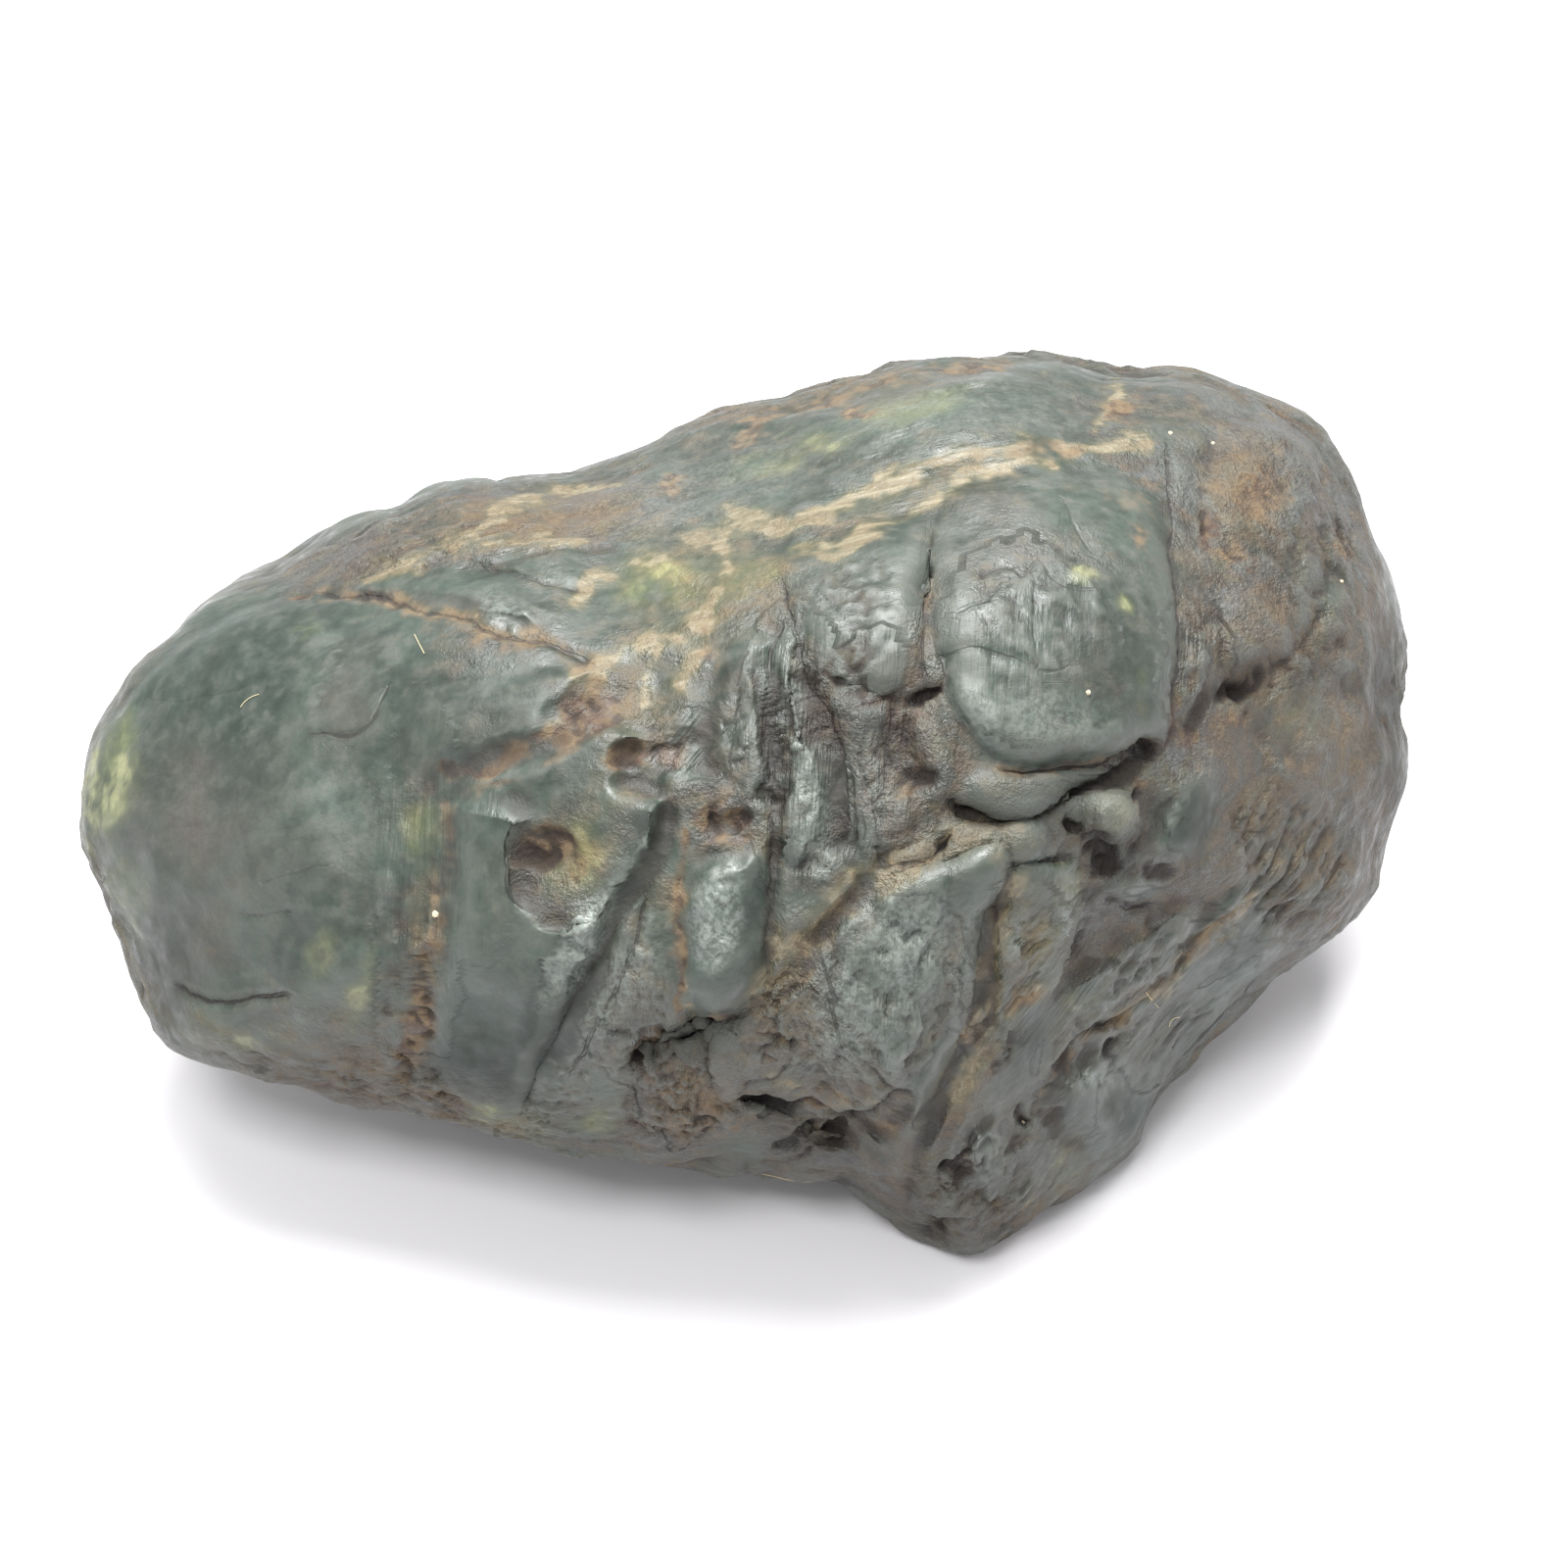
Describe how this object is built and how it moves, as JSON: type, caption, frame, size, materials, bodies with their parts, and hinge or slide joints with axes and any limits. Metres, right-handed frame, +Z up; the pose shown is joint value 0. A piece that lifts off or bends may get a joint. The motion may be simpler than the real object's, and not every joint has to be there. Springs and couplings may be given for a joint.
{
  "type": "nephrite jade cobble",
  "caption": "Water-worn nephrite jade cobble with smooth pillows, deep clefts, rusty seams and pale veins; display stone or prop.",
  "frame": {"origin": "middle of the bounding box at the surface the stone rests on", "axes": "+X along the stone's length, towards its thick end; +Y away from the side with the deep clefts; +Z up"},
  "size_m": [0.1257, 0.0764, 0.0666],
  "materials": {
    "jade": "water-worn blue-green to grey-green nephrite, satin to waxy, with pale veins and rust in the seams"
  },
  "bodies": {
    "root": {"cobble": "jade"}
  },
  "joints": []
}
